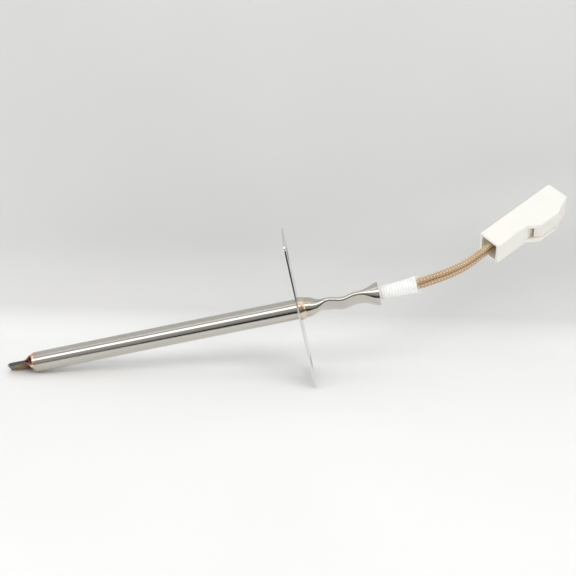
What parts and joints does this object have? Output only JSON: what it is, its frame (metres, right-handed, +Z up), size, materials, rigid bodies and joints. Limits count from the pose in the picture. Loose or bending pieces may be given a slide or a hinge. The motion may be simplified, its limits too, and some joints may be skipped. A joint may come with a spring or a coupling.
{
  "type": "temperature sensor probe",
  "caption": "Flattened stainless sheath through a two-hole flange, with a crimped neck, a two-wire braided lead and a latching two-way plug.",
  "frame": {"origin": "centre of the flange's rear face, the one that lies on the oven wall, on the sheath's axis", "axes": "+X along the sheath from its closed tip towards the plug; +Z up along the flange's long side"},
  "size_m": [0.1831, 0.0412, 0.05],
  "materials": {
    "stainless": "brushed drawn stainless tube, heat-tinted at the tip and the weld",
    "bright_steel": "bright rolled stainless sheet",
    "weld": "straw-coloured heat-tinted weld metal",
    "tip_weld": "blue-grey heat-tinted weld bead",
    "alumina": "unglazed white ceramic",
    "glaze": "glass drop",
    "powder": "packed ceramic powder",
    "nickel": "drawn nickel wire",
    "glass_fibre": "woven white glass fibre",
    "lead_braid": "varnished tan glass-fibre braid",
    "nylon": "moulded ivory nylon",
    "contact": "tin-plated contact metal"
  },
  "bodies": {
    "probe": {"cement_plug": "powder", "chip_glaze": "glaze", "conductor_a": "nickel", "conductor_b": "nickel", "contact_a": "contact", "contact_b": "contact", "element_leg_a": "nickel", "element_leg_b": "nickel", "flange": "bright_steel", "flange_weld": "weld", "insulator_1": "alumina", "insulator_2": "alumina", "insulator_3": "alumina", "insulator_4": "alumina", "lead_a": "lead_braid", "lead_b": "lead_braid", "lead_tail_a": "lead_braid", "lead_tail_b": "lead_braid", "outer_sleeve": "glass_fibre", "plug_housing": "nylon", "powder_fill": "powder", "sensing_chip": "alumina", "sheath": "stainless", "splice_a": "nickel", "splice_b": "nickel", "strand_a": "nickel", "strand_b": "nickel", "tip_weld": "tip_weld"},
    "latch": {"plug_latch": "nylon"}
  },
  "joints": [
    {"name": "latch_press", "type": "hinge", "parent": "probe", "child": "latch", "pos_m": [0.083, 0.02005, 0.00202], "axis": [-0.1101, 0.4039, -0.9081], "range_deg": [0, 6], "stiffness_Nm_per_rad": 0.2}
  ]
}
